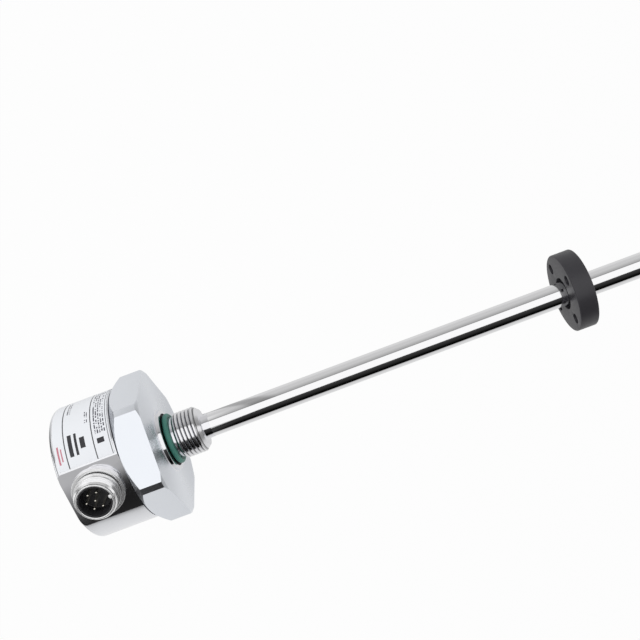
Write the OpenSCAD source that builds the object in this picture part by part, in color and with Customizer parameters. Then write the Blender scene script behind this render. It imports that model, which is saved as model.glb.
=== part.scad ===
// Magnetostrictive position sensor with a screw-in flange, a measuring rod and a ring magnet.
// Millimetres. The origin is the centre of the flange's sealing side, +X runs along the rod, +Z is up.

/* [Flange] */
// Width of the hexagon across its flats
hex_af = 55; // [50:0.5:60]
// How far the turned corners stand out over the flats
corner_over = 3.5; // [2.5:0.1:4.2]
// Radial width of the front edge chamfer
front_chamfer = 1.4; // [0.6:0.1:2.2]
// Thickness of the flange from the front face to the housing joint
flange_t = 12.5; // [11:0.1:15]
// Length of the rear cone down to the housing
rear_cone = 3.2; // [2:0.1:5]
// Diameter of the raised sealing face
boss_d = 25.6; // [24:0.1:28]
// Height of the raised sealing face
boss_h = 1.5; // [1:0.1:3]
// Diameter of the undercut that carries the sealing ring
neck_d = 17; // [16:0.1:17.5]
// Length of the undercut
neck_l = 3.6; // [3.2:0.1:4.5]
// Major diameter of the process thread, 3/4 inch 16 UNF
thread_d = 19.05; // [18:0.05:22]
// Length from the front face to the end of the full thread
thread_end = 14.8; // [13:0.1:24]
// Chamfer on the ends of the thread
thread_chamfer = 1.2; // [0.8:0.1:1.4]
// Diameter of the fillet collar at the root of the rod
nose_d = 14; // [13:0.1:15]
// Length of the fillet collar
nose_l = 3.6; // [2:0.1:5]

/* [Rod] */
// Outer diameter of the pressure tube
rod_d = 10; // [9.5:0.1:11]
// Wall of the pressure tube
rod_wall = 1; // [0.8:0.1:1.4]
// Distance from the flange to the first measured position
null_zone = 51; // [40:1:80]
// Measured stroke
stroke = 200; // [100:5:400]
// Unmeasured end of the rod
dead_zone = 63.5; // [50:0.5:80]
// Thickness of the welded end plug outside the tube
plug_t = 2; // [1.5:0.1:3]
// Edge chamfer of the end plug
plug_chamfer = 0.6; // [0.3:0.1:1]

/* [Head] */
// Length of the housing behind the joint
head_l = 24.9; // [24:0.1:34]
// Rounding of the rear edge
head_round = 1.6; // [1:0.1:3]
// Wall of the round housing
head_wall = 5.5; // [5:0.1:6.5]
// Thickness of the rear wall
rear_wall = 3; // [2.5:0.1:4]
// Depth of the connector flat under the round surface
flat_depth = 2.6; // [2:0.1:2.9]
// Direction of the connector from straight up, turned about the rod axis
connector_angle = 22.5; // [0:0.5:60]
// Distance of the connector axis behind the housing joint
connector_back = 13; // [12.9:0.1:14]
// Thickness of the type label foil
label_t = 0.12; // [0.08:0.01:0.3]
// Bare strip between the type label and the joint
label_edge = 0.8; // [0.5:0.1:5]
// Angle that the label covers round the housing
label_sweep = 200; // [90:5:260]

/* [Connector] */
// Major diameter of the connector thread, M16
sleeve_d = 16; // [15:0.1:18]
// Diameter of the base collar on the flat
collar_d = 20; // [19:0.1:21]
// Height of the base collar
collar_h = 1.2; // [1:0.1:2]
// Diameter of the shoulder between the collar and the thread
shoulder_d = 17.4; // [16.5:0.1:18.5]
// Length of the shoulder
shoulder_l = 1.2; // [0.8:0.1:1.6]
// Length of the groove between the collar and the shoulder
collar_groove = 0.6; // [0.4:0.1:0.8]
// Height of the connector rim above the flat
rim_h = 8.8; // [8:0.1:12]
// Outer diameter of the rim
rim_d = 14.4; // [14:0.1:15]
// Diameter of the insert
insert_d = 12.8; // [12:0.1:13.2]
// Wall of the insert cup
insert_wall = 0.8; // [0.6:0.1:1.2]
// Depth of the socket below the rim
socket_depth = 6; // [4:0.1:7]
// Radius of the circle of the outer contact pins
pin_circle_r = 3.45; // [3:0.05:4]
// Diameter of a contact pin
pin_d = 1; // [0.8:0.1:1.2]
// Radius of the coding rib
key_r = 0.9; // [0.6:0.1:1.2]
// Across flats of the inner fixing nut
nut_af = 17; // [16:0.5:17.5]
// Thickness of the inner fixing nut
nut_t = 2.4; // [2:0.1:3]

/* [Ring magnet] */
// Outer diameter of the ring magnet
magnet_d = 32.8; // [30:0.1:34]
// Thickness of the ring magnet
magnet_t = 7.9; // [7:0.1:9]
// Bore of the ring magnet
magnet_bore = 13.5; // [12.5:0.1:15]
// Pitch circle of the fixing holes
magnet_pcd = 24; // [23:0.1:25]
// Diameter of a fixing hole
magnet_hole_d = 4.3; // [4:0.1:4.5]
// Edge chamfer of the ring magnet
magnet_edge = 0.4; // [0.2:0.1:0.8]
// Distance from the flange front face to the near side of the magnet
magnet_at = 172.6; // [60:0.1:240]
// Roll of the magnet about its own axis
magnet_roll = -19.8; // [-45:0.1:45]
// Air gap that stays between the bore and the top of the rod
magnet_gap = 0.3; // [0.3:0.1:1]

/* [Inside] */
// Radial clearance of assembled round pieces
fit = 0.05; // [0.03:0.01:0.1]
// Radial clearance of the tube in the flange
tube_fit = 0.02; // [0.01:0.01:0.05]
// Length of the flange spigot in the housing
spigot_l = 4; // [4:0.1:4.2]
// Wall of the flange spigot
spigot_wall = 3.4; // [3:0.1:4]
// Section of the housing sealing ring
housing_seal_d = 1.6; // [1.2:0.1:2]
// Section of the process sealing ring
process_seal_d = 2.2; // [1.8:0.1:2.4]
// Thickness of the circuit boards
board_t = 1.6; // [1:0.1:2]
// Gap between the interface board and the flange spigot
board_gap = 0.55; // [0.4:0.05:1.5]
// Free space between the heads of the board screws and the rear wall
rear_gap = 2.7; // [2.3:0.1:5]
// Diameter of the board screws
screw_d = 2.5; // [2:0.1:3]
// Height of the heads of the board screws
screw_head_t = 1.6; // [1.2:0.1:2]
// Diameter of the board spacers
spacer_d = 4.9; // [4.2:0.1:5.5]
// Thickness of the chips
chip_t = 1.2; // [0.8:0.1:1.6]
// Diameter of the supply capacitor
cap_d = 5; // [4:0.1:5.5]
// Height of the supply capacitor
cap_l = 5.5; // [4:0.1:8]
// Width of the flexible circuit
flex_w = 9.2; // [6:0.1:10]
// Thickness of the flexible circuit
flex_t = 0.3; // [0.2:0.05:0.4]
// Depth of the cartridge in the flange, from the joint
cartridge_depth = 9.5; // [9:0.1:10]
// Length of the pick-up coil
coil_l = 2.9; // [2:0.1:3.2]
// Length of the bias magnet
bias_l = 5.6; // [4:0.1:6]
// Width of the bias magnet
bias_w = 3.1; // [2:0.1:4]
// Thickness of the bias magnet
bias_t = 2.3; // [1.5:0.1:2.5]
// Thickness of the cartridge holder plate
holder_plate_t = 2; // [1.5:0.1:2.5]
// Diameter of the waveguide wire
waveguide_d = 0.7; // [0.5:0.05:1]
// Outer diameter of the tube round the waveguide
guide_tube_d = 2.4; // [2.2:0.1:3]
// Diameter of the return wire
return_d = 0.6; // [0.4:0.05:0.8]
// Wall of the cartridge liner
liner_wall = 0.6; // [0.4:0.05:0.8]
// Length of the wave damper
damper_l = 15.8; // [10:0.1:25]
// Free space between the end of the waveguide and the end of the tube
wave_gap = 6; // [5:0.1:10]

/* [Hidden] */
rod_r = rod_d / 2;
rod_end = null_zone + stroke + dead_zone;
tube_r = rod_r - rod_wall;
tube_start = cartridge_depth - flange_t;
tube_end = rod_end - plug_t;
thread_r = thread_d / 2;
head_r = hex_af / 2;
head_end = flange_t + head_l;
hex_turned_r = head_r + corner_over;
flat_dist = head_r - flat_depth;
bore_r = head_r - head_wall;
spigot_r = bore_r - fit;
spigot_in = spigot_r - spigot_wall;
seal_r = housing_seal_d / 2;
seal_ring_r = bore_r - seal_r - fit / 5;
groove_r = seal_ring_r - seal_r - fit / 2;
groove_x = -flange_t - spigot_l / 2;
board_a_r = spigot_in - board_gap;
board_b_r = board_a_r * 5 / 6;
screw_circle_r = board_a_r * 2 / 3;
chip_w = board_a_r * 0.39;
chip_at = board_a_r * 0.25;
holder_r = screw_circle_r * 0.74;
recess_r = holder_r + fit;
recess_end = tube_start;
board_space = head_l - rear_wall - holder_plate_t - 2 * board_t - screw_head_t - rear_gap;
plate_x = -flange_t - holder_plate_t;
board_a_x = plate_x - board_t;
board_b_x = board_a_x - board_space - board_t;
conn_x = -flange_t - connector_back;
sleeve_r = sleeve_d / 2;
collar_r = collar_d / 2;
insert_r = insert_d / 2;
shell_bore_r = insert_r + fit;
stem_r = sleeve_r - 0.8;
thread_h = collar_h + collar_groove + shoulder_l;
pocket_h = flat_depth - head_wall + 0.4;
shell_tail = pocket_h - nut_t - 0.5;
pin_tail = shell_tail - 0.8;
rib_at = insert_r - 0.1;
cup_h = rim_h - 0.5;
socket_floor = cup_h - socket_depth;
conn_seal_r = 0.42;
guide_r = guide_tube_d / 2;
guide_bore_r = waveguide_d / 2 + 0.3;
liner_r = tube_r - fit;
liner_in = liner_r - liner_wall;
coil_r = holder_r * 0.44;
coil_x = -flange_t + cartridge_depth / 2 - coil_l / 2 + fit;
bias_x = recess_end - 0.35 - bias_l;
bias_z = -holder_r * 0.72;
wire_off = guide_r + return_d / 2 + fit;
wave_end = tube_end - wave_gap;
magnet_drop = magnet_bore / 2 - rod_r - magnet_gap;
label_w = head_l - head_round - label_edge - 0.2;
label_start = connector_angle - acos(flat_dist / head_r) - 1.4;

// Turns a profile given as radius and distance along the rod
module turned(points) {
    rotate([0, 90, 0]) rotate_extrude($fn = 128) polygon(points);
}

// A round bar along the rod axis from one distance to another
module bar(x0, x1, r) {
    translate([x0, 0, 0]) rotate([0, 90, 0]) cylinder(r = r, h = x1 - x0, $fn = 96);
}

// Places a piece on the connector flat, with its own z axis pointing outwards
module on_flat(h = 0) {
    translate([conn_x, 0, 0]) rotate([connector_angle, 0, 0]) translate([0, 0, flat_dist + h]) children();
}

// Places a piece on one of the three board screw axes, with z running towards the rod
module on_screw(i, x) {
    rotate([connector_angle + 60 + 120 * i, 0, 0]) translate([x, 0, screw_circle_r])
        rotate([0, 90, 0]) children();
}

// Round housing, closed at the rear, with the milled connector flat
module head_housing() {
    color([0.86, 0.87, 0.88]) difference() {
        rotate([0, 90, 0]) rotate_extrude($fn = 128) difference() {
            union() {
                translate([0, -head_end]) square([head_r - head_round, head_end - flange_t]);
                translate([0, -head_end + head_round]) square([head_r, head_end - flange_t - head_round]);
                translate([head_r - head_round, -head_end + head_round]) circle(r = head_round, $fn = 64);
            }
            translate([-1, -head_end + rear_wall]) square([bore_r + 1, head_end]);
        }
        on_flat() translate([-head_end, -head_r, 0]) cube([2 * head_end, 2 * head_r, head_r]);
        on_flat(-head_wall) cylinder(r = stem_r + fit, h = 2 * head_wall, $fn = 96);
        on_flat(-head_wall * 2)
            cylinder(r = nut_af / 2 / cos(30) + 0.25, h = head_wall * 2 + pocket_h, $fn = 96);
    }
}

// Hexagon flange with the sealing face, undercut, threaded stub and rear spigot
module hex_flange() {
    color([0.84, 0.85, 0.86]) difference() {
        union() {
            intersection() {
                translate([-flange_t, 0, 0]) rotate([0, 90, 0]) rotate([0, 0, 30])
                    cylinder(r = head_r / cos(30), h = flange_t, $fn = 6);
                turned([[0, 0], [hex_turned_r - front_chamfer, 0], [hex_turned_r, -front_chamfer * tan(30)],
                    [hex_turned_r, rear_cone - flange_t], [head_r, -flange_t], [0, -flange_t]]);
            }
            turned([[0, -1], [boss_d / 2, -1], [boss_d / 2, boss_h], [neck_d / 2, boss_h],
                [neck_d / 2, boss_h + neck_l], [thread_r - thread_chamfer * 0.7, boss_h + neck_l],
                [thread_r, boss_h + neck_l + thread_chamfer * 0.7], [thread_r, thread_end],
                [thread_r - thread_chamfer, thread_end + thread_chamfer],
                [nose_d / 2, thread_end + thread_chamfer],
                [nose_d / 2 - 0.9, thread_end + thread_chamfer + nose_l * 0.28],
                [rod_r + 0.55, thread_end + thread_chamfer + nose_l * 0.62],
                [rod_r + 0.25, thread_end + thread_chamfer + nose_l],
                [0, thread_end + thread_chamfer + nose_l]]);
            turned([[0, -flange_t + 1], [spigot_r, -flange_t + 1], [spigot_r, -flange_t - spigot_l],
                [0, -flange_t - spigot_l]]);
        }
        turned([[groove_r, groove_x - seal_r - 0.1], [bore_r + 1, groove_x - seal_r - 0.1],
            [bore_r + 1, groove_x + seal_r + 0.1], [groove_r, groove_x + seal_r + 0.1]]);
        bar(-flange_t - spigot_l - 1, -flange_t, spigot_in);
        bar(-flange_t - 1, recess_end, recess_r);
        bar(recess_end - 1, rod_end, rod_r + tube_fit);
        for (i = [0:2]) on_screw(i, -flange_t - 1)
            cylinder(r = screw_d / 2 + fit, h = flange_t / 2 + 1, $fn = 32);
    }
}

// Sealing ring in the undercut behind the thread
module process_sealing_ring() {
    color([0.16, 0.42, 0.33]) translate([boss_h + process_seal_d / 2 + 0.02, 0, 0]) rotate([0, 90, 0])
        rotate_extrude($fn = 96) translate([neck_d / 2 + process_seal_d / 2 + 0.02, 0])
            circle(r = process_seal_d / 2, $fn = 32);
}

// Sealing ring between the flange spigot and the housing
module housing_sealing_ring() {
    color([0.08, 0.08, 0.08]) translate([groove_x, 0, 0]) rotate([0, 90, 0]) rotate_extrude($fn = 96)
        translate([seal_ring_r, 0]) circle(r = seal_r, $fn = 24);
}

// Stainless pressure tube
module rod_tube() {
    color([0.8, 0.81, 0.82]) difference() {
        bar(tube_start, tube_end, rod_r);
        bar(tube_start - 1, tube_end + 1, tube_r);
    }
}

// Welded plug that closes the far end of the tube
module rod_end_plug() {
    color([0.78, 0.79, 0.8]) turned([[0, tube_end - 3], [tube_r - tube_fit, tube_end - 3],
        [tube_r - tube_fit, tube_end], [rod_r, tube_end], [rod_r, rod_end - plug_chamfer],
        [rod_r - plug_chamfer, rod_end], [0, rod_end]]);
}

// Foil label bent round the housing
module type_label() {
    color([0.9, 0.92, 0.94]) rotate([0, 90, 0]) rotate([0, 0, label_start + 180 - label_sweep])
        rotate_extrude(angle = label_sweep, $fn = 128)
            translate([head_r + fit, -head_end + head_round + 0.2]) square([label_t, label_w]);
}

// Threaded metal connector shell with the base collar, shoulder, rim and coding rib
module connector_shell() {
    color([0.83, 0.83, 0.82]) on_flat() {
        rotate_extrude($fn = 96) difference() {
            polygon([[0, shell_tail], [stem_r, shell_tail], [stem_r, 0], [collar_r, 0],
                [collar_r, collar_h - 0.3], [collar_r - 0.3, collar_h], [sleeve_r - 0.4, collar_h],
                [sleeve_r - 0.4, collar_h + collar_groove], [shoulder_d / 2, collar_h + collar_groove],
                [shoulder_d / 2, thread_h], [sleeve_r, thread_h],
                [sleeve_r, rim_h - 1.2], [rim_d / 2, rim_h - 0.6], [rim_d / 2, rim_h], [0, rim_h]]);
            translate([-1, shell_tail - 1]) square([shell_bore_r + 1, 2 * rim_h - shell_tail]);
            translate([sleeve_r + 0.15, -1]) square([2 * conn_seal_r + 0.06, 1 + 2 * conn_seal_r + 0.03]);
        }
        intersection() {
            translate([rib_at, 0, -2]) cylinder(r = key_r, h = rim_h + 2, $fn = 48);
            translate([0, 0, -3]) cylinder(r = shell_bore_r + 0.3, h = rim_h + 4, $fn = 96);
        }
    }
}

// Insulating cup that holds the contact pins
module connector_insert() {
    color([0.06, 0.06, 0.06]) on_flat() difference() {
        translate([0, 0, shell_tail + 0.4]) cylinder(r = insert_r, h = cup_h - shell_tail - 0.4, $fn = 96);
        translate([0, 0, socket_floor]) cylinder(r = insert_r - insert_wall, h = 2 * rim_h, $fn = 96);
        translate([rib_at, 0, pin_tail]) cylinder(r = key_r + fit, h = 3 * rim_h, $fn = 48);
        translate([0, 0, pin_tail]) cylinder(r = pin_d / 2 + fit, h = 3 * rim_h, $fn = 32);
        for (i = [1:5]) rotate([0, 0, 60 * i]) translate([pin_circle_r, 0, pin_tail])
            cylinder(r = pin_d / 2 + fit, h = 3 * rim_h, $fn = 32);
    }
}

// One contact pin, number 1 stands in the middle
module contact_pin(i) {
    a = (i - 1) * 60;
    r = i == 1 ? 0 : pin_circle_r;
    color([0.9, 0.8, 0.5]) on_flat() rotate([0, 0, a]) translate([r, 0, 0]) rotate_extrude($fn = 32)
        polygon([[0, pin_tail], [pin_d / 2, pin_tail], [pin_d / 2, rim_h - 1.4], [pin_d / 2 - 0.3, rim_h - 1],
            [0, rim_h - 1]]);
}

// Sealing ring under the connector collar
module connector_sealing_ring() {
    color([0.07, 0.07, 0.07]) on_flat(conn_seal_r + 0.02) rotate_extrude($fn = 96)
        translate([sleeve_r + conn_seal_r + 0.18, 0]) circle(r = conn_seal_r, $fn = 24);
}

// Inner nut that holds the connector on the housing wall
module connector_nut() {
    color([0.75, 0.75, 0.72]) on_flat(pocket_h - nut_t) difference() {
        rotate([0, 0, 30]) cylinder(r = nut_af / 2 / cos(30), h = nut_t, $fn = 6);
        translate([0, 0, -1]) cylinder(r = stem_r + fit, h = nut_t + 2, $fn = 96);
    }
}

// Flexible circuit from the contact pins to the interface board
module connector_flex() {
    z1 = flat_dist + pin_tail;
    z0 = board_a_r - 3;
    r = pin_circle_r + 1;
    color([0.75, 0.45, 0.12]) rotate([connector_angle, 0, 0]) translate([0, flex_w / 2, 0])
        rotate([90, 0, 0]) linear_extrude(height = flex_w) polygon([[conn_x - r, z1], [conn_x + r, z1],
            [conn_x + r, z0 + flex_t], [board_a_x - 0.02, z0 + flex_t], [board_a_x - 0.02, z0],
            [conn_x + r - flex_t, z0], [conn_x + r - flex_t, z1 - flex_t], [conn_x - r, z1 - flex_t]]);
}

// A round board with its three screw holes
module board(x, r) {
    difference() {
        bar(x, x + board_t, r);
        for (i = [0:2]) on_screw(i, x - 1) cylinder(r = screw_d / 2 + fit, h = board_t + 2, $fn = 32);
        bar(x - 1, x + board_t + 1, 2);
    }
}

// Board with the supply and the output drivers
module interface_board() {
    color([0.05, 0.32, 0.14]) board(board_a_x, board_a_r);
}

// Board that times the sonic pulse
module converter_board() {
    color([0.05, 0.3, 0.16]) board(board_b_x, board_b_r);
}

// Spacer between the boards
module board_spacer(i) {
    color([0.8, 0.8, 0.75]) on_screw(i, board_b_x + board_t) difference() {
        cylinder(r = spacer_d / 2, h = board_space, $fn = 48);
        translate([0, 0, -1]) cylinder(r = screw_d / 2 + fit, h = board_space + 2, $fn = 32);
    }
}

// Screw through both boards and the holder into the flange
module board_screw(i) {
    color([0.7, 0.7, 0.7]) on_screw(i, board_b_x) union() {
        translate([0, 0, -screw_head_t]) cylinder(r = screw_d * 0.9, h = screw_head_t, $fn = 48);
        translate([0, 0, -0.1]) cylinder(r = screw_d / 2, h = -flange_t * 0.6 - board_b_x, $fn = 32);
    }
}

// Chip that counts the time of flight
module timing_chip() {
    color([0.09, 0.09, 0.1]) rotate([connector_angle + 120, 0, 0])
        translate([board_b_x + board_t, -chip_w / 2, chip_at]) cube([chip_t, chip_w, chip_w]);
}

// Output driver chip
module line_driver_chip() {
    color([0.1, 0.1, 0.11]) rotate([connector_angle + 120, 0, 0])
        translate([board_a_x - chip_t, -chip_w * 0.3, chip_at]) cube([chip_t, chip_w * 0.6, chip_w * 0.8]);
}

// Round supply capacitor
module supply_capacitor() {
    color([0.72, 0.73, 0.75]) rotate([connector_angle, 0, 0]) translate([board_a_x - cap_l, chip_w, 0])
        rotate([0, 90, 0]) cylinder(r = cap_d / 2, h = cap_l, $fn = 48);
}

// Plastic carrier that holds the coil, the bias magnet and the end of the waveguide
module cartridge_holder() {
    color([0.85, 0.82, 0.72]) difference() {
        union() {
            bar(plate_x, -flange_t, board_b_r);
            bar(-flange_t - 0.5, recess_end - 0.3, holder_r);
        }
        for (i = [0:2]) on_screw(i, plate_x - 1)
            cylinder(r = screw_d / 2 + fit, h = holder_plate_t + 2, $fn = 32);
        bar(plate_x + 1, recess_end + 1, guide_r + fit);
        bar(plate_x - 1, plate_x + 2, waveguide_d / 2 + 0.02);
        bar(coil_x - fit, coil_x + coil_l + fit, coil_r + 0.1);
        translate([0, 0, wire_off]) bar(plate_x - 1, recess_end + 1, return_d / 2 + 0.05);
        translate([bias_x - fit, -bias_w / 2 - fit, bias_z - bias_t / 2 - fit])
            cube([bias_l + 1, bias_w + 2 * fit, bias_t + 2 * fit]);
    }
}

// Coil round the waveguide that picks up the sonic pulse
module pickup_coil() {
    color([0.72, 0.35, 0.12]) difference() {
        bar(coil_x, coil_x + coil_l, coil_r);
        bar(coil_x - 1, coil_x + coil_l + 1, guide_r + fit);
        translate([0, 0, wire_off]) bar(coil_x - 1, coil_x + coil_l + 1, return_d / 2 + 0.05);
    }
}

// Small magnet that biases the pick-up
module bias_magnet() {
    color([0.35, 0.35, 0.37]) translate([bias_x, -bias_w / 2, bias_z - bias_t / 2])
        cube([bias_l, bias_w, bias_t]);
}

// Wire that carries the current pulse and the sonic wave
module waveguide() {
    color([0.6, 0.6, 0.55]) bar(plate_x, wave_end, waveguide_d / 2);
}

// Thin tube that keeps the waveguide straight
module waveguide_tube() {
    color([0.75, 0.76, 0.72]) difference() {
        bar(plate_x + 1.2, wave_end - damper_l - 0.2, guide_r);
        bar(plate_x, wave_end, guide_bore_r);
    }
}

// Wire that brings the current pulse back
module return_wire() {
    color([0.7, 0.3, 0.15]) translate([0, 0, wire_off]) bar(plate_x, wave_end, return_d / 2);
}

// Soft sleeve that swallows the wave at the end of the waveguide
module end_damper() {
    color([0.5, 0.2, 0.16]) difference() {
        bar(wave_end - damper_l, wave_end + 2, liner_in - fit);
        bar(wave_end - damper_l - 1, wave_end + 0.1, waveguide_d / 2 + 0.02);
        translate([0, 0, wire_off]) bar(wave_end - damper_l - 1, wave_end + 0.1, return_d / 2 + 0.02);
    }
}

// Plastic sleeve of the sensing cartridge inside the tube
module cartridge_liner() {
    color([0.92, 0.92, 0.9]) difference() {
        bar(tube_start + 0.2, tube_end - 3.4, liner_r);
        bar(tube_start - 1, tube_end + 1, liner_in);
    }
}

// Moulded ring magnet with four fixing holes
module ring_magnet() {
    r = magnet_d / 2;
    b = magnet_bore / 2;
    e = magnet_edge;
    color([0.2, 0.2, 0.22]) translate([magnet_at, 0, -magnet_drop]) rotate([magnet_roll, 0, 0]) difference() {
        turned([[b, 0.15], [b + 0.15, 0], [r - e, 0], [r, e], [r, magnet_t - e], [r - e, magnet_t],
            [b + 0.15, magnet_t], [b, magnet_t - 0.15]]);
        for (i = [0:3]) rotate([90 * i, 0, 0]) translate([-1, 0, magnet_pcd / 2]) rotate([0, 90, 0])
            cylinder(r = magnet_hole_d / 2, h = magnet_t + 2, $fn = 48);
    }
}

head_housing();
hex_flange();
process_sealing_ring();
housing_sealing_ring();
rod_tube();
rod_end_plug();
type_label();
connector_shell();
connector_insert();
contact_pin(1);  // contact_pin_1
contact_pin(2);  // contact_pin_2
contact_pin(3);  // contact_pin_3
contact_pin(4);  // contact_pin_4
contact_pin(5);  // contact_pin_5
contact_pin(6);  // contact_pin_6
connector_sealing_ring();
connector_nut();
connector_flex();
interface_board();
converter_board();
board_spacer(0);  // board_spacer_1
board_spacer(1);  // board_spacer_2
board_spacer(2);  // board_spacer_3
board_screw(0);  // board_screw_1
board_screw(1);  // board_screw_2
board_screw(2);  // board_screw_3
timing_chip();
line_driver_chip();
supply_capacitor();
cartridge_holder();
pickup_coil();
bias_magnet();
waveguide();
waveguide_tube();
return_wire();
end_damper();
cartridge_liner();
ring_magnet();
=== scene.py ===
# %% [markdown]
# # A magnetostrictive position sensor
# The sensor screws into the head of a hydraulic cylinder. A slim steel rod reaches into the
# piston, a ring magnet rides along the rod, and a wire inside the rod tells the electronics in
# the round head how far away the magnet is. Everything here is in metres. The x axis is the
# rod's own axis and the origin is the middle of the hexagon's front face.

import math

import bmesh
import bpy
from mathutils import Matrix, Vector


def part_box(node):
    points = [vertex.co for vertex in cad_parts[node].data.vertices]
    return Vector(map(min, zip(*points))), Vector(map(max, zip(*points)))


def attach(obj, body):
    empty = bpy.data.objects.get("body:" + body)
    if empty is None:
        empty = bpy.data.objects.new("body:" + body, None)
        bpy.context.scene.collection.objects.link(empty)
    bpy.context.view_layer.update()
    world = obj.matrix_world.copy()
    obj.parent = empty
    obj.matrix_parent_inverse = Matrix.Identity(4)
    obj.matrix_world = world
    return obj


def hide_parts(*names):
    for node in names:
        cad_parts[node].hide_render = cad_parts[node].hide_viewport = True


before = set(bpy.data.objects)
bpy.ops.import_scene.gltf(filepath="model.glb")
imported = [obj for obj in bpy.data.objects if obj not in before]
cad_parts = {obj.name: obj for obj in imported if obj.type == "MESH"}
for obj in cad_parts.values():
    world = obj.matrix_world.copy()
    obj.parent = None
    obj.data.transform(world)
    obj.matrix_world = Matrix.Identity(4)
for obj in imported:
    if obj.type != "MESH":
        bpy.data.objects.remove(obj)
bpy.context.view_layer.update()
MM = 0.001

# %% [markdown]
# ## The camera
# The photograph was taken from close by, with the rod parallel to the picture and rising 20
# degrees to the right. The near magnet shows its left face and the flange its right face, so
# the lens sits between them, a third of a metre away. The small shift puts the picture's
# frame where the photograph has it.

# %% Camera
TILT = math.radians(20.37)
ROLL = math.radians(-2.17)
IMAGE_PX = 640
FOCAL_PX = 811.7

toward = Vector((0, math.sin(ROLL), math.cos(ROLL)))
down = Vector((0, -math.cos(ROLL), math.sin(ROLL)))
along = Vector((1, 0, 0))
cam_right = along * math.cos(TILT) + down * math.sin(TILT)
cam_up = along * math.sin(TILT) - down * math.cos(TILT)
eye = (along * 80.97 + down * -4.46 + toward * 331.3) * MM

camera_data = bpy.data.cameras.new("photo_camera")
camera_data.sensor_width = 36
camera_data.lens = FOCAL_PX * 36 / IMAGE_PX
camera_data.shift_x = -0.0466
camera_data.shift_y = 0.0644
camera_data.clip_start = 0.01
camera = bpy.data.objects.new("photo_camera", camera_data)
camera.matrix_world = Matrix((
    (cam_right.x, cam_up.x, toward.x, eye.x),
    (cam_right.y, cam_up.y, toward.y, eye.y),
    (cam_right.z, cam_up.z, toward.z, eye.z),
    (0, 0, 0, 1)))
bpy.context.scene.collection.objects.link(camera)
bpy.context.scene.camera = camera
bpy.context.scene.view_settings.view_transform = "Standard"
print("camera at", [round(c, 4) for c in eye], "lens", round(camera_data.lens, 2))

# %% [markdown]
# ## Small helpers for meshes
# Nearly every piece was made on a lathe, so the main helper turns a profile about the rod axis.
# A profile is a list of (radius, x) points in millimetres. Real edges are never knife sharp,
# so a second helper rounds each corner of the profile by its own small radius first.

# %% Mesh helpers
def link(mesh, name):
    """A new object for a finished mesh, standing at the origin."""
    piece = bpy.data.objects.new(name, mesh)
    bpy.context.scene.collection.objects.link(piece)
    return piece


def smooth(mesh, degrees=30):
    """Smooth shading with sharp lines kept where faces meet at a real edge."""
    mesh.shade_smooth()
    mesh.set_sharp_from_angle(angle=math.radians(degrees))


def rounded(points, steps=4):
    """Rounds a profile. Each point is (radius, x) or (radius, x, rounding)."""
    out = []
    for i, p in enumerate(points):
        r = p[2] if len(p) > 2 else 0
        here = Vector(p[:2])
        if r <= 0 or i in (0, len(points) - 1):
            out.append(here)
            continue
        before = (Vector(points[i - 1][:2]) - here).normalized()
        after = (Vector(points[i + 1][:2]) - here).normalized()
        half = before.angle(after) / 2
        back = r / math.tan(half)
        centre = here + (before + after).normalized() * (r / math.sin(half))
        a, b = here + before * back - centre, here + after * back - centre
        for k in range(steps + 1):
            t = k / steps
            out.append(centre + (a * (1 - t) + b * t).normalized() * r)
    return out


def turned_mesh(points, segments=192, ring=False):
    """Turns a profile about the x axis. A ring's profile is closed on itself."""
    mesh_data = bmesh.new()
    columns = []
    for point in points:
        radius, x = point[0] * MM, point[1] * MM
        if radius < 1e-7:
            columns.append([mesh_data.verts.new((x, 0, 0))] * segments)
            continue
        columns.append([mesh_data.verts.new((x, -radius * math.sin(a), radius * math.cos(a)))
                        for a in (2 * math.pi * k / segments for k in range(segments))])
    pairs = list(zip(columns, columns[1:]))
    if ring:
        pairs.append((columns[-1], columns[0]))
    for one, two in pairs:
        for k in range(segments):
            n = (k + 1) % segments
            corners = [one[k], one[n], two[n], two[k]]
            unique = list(dict.fromkeys(corners))
            if len(unique) > 2:
                mesh_data.faces.new(unique)
    bmesh.ops.recalc_face_normals(mesh_data, faces=mesh_data.faces)
    return mesh_data


def to_mesh(mesh_data, name, degrees=30):
    """Turns the working mesh into an object."""
    mesh = bpy.data.meshes.new(name)
    mesh_data.to_mesh(mesh)
    mesh_data.free()
    smooth(mesh, degrees)
    return link(mesh, name)


def turned(name, points, segments=192, ring=False, degrees=30):
    """A lathe-turned piece."""
    return to_mesh(turned_mesh(points, segments, ring), name, degrees)


def cut_flat(mesh_data, point, normal):
    """Mills one flat: removes what lies beyond the plane and closes the cut."""
    geom = mesh_data.verts[:] + mesh_data.edges[:] + mesh_data.faces[:]
    result = bmesh.ops.bisect_plane(mesh_data, geom=geom, dist=1e-7, plane_co=point, plane_no=normal,
                                    clear_outer=True)
    rim = [e for e in result["geom_cut"] if isinstance(e, bmesh.types.BMEdge)]
    bmesh.ops.edgeloop_fill(mesh_data, edges=rim)


def place(mesh, matrix):
    """Moves a mesh to its place, so that its object can stay at the origin."""
    mesh.transform(matrix)
    mesh.update()


def finish_piece(piece, material, body, slot_name, *nodes):
    """Gives a piece its material, its body and the CAD nodes it stands for. Its record slot name is not used.
    """
    piece.data.materials.clear()
    piece.data.materials.append(material)
    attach(piece, body)
    if nodes:
        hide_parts(*nodes)
    print(piece.name, len(piece.data.polygons), "faces")


# %% [markdown]
# ## Small helpers for materials
# A material is a Principled shader whose roughness, colour and bump come from a few procedural
# patterns in Object coordinates. One short helper adds a node and links its inputs.

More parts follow.
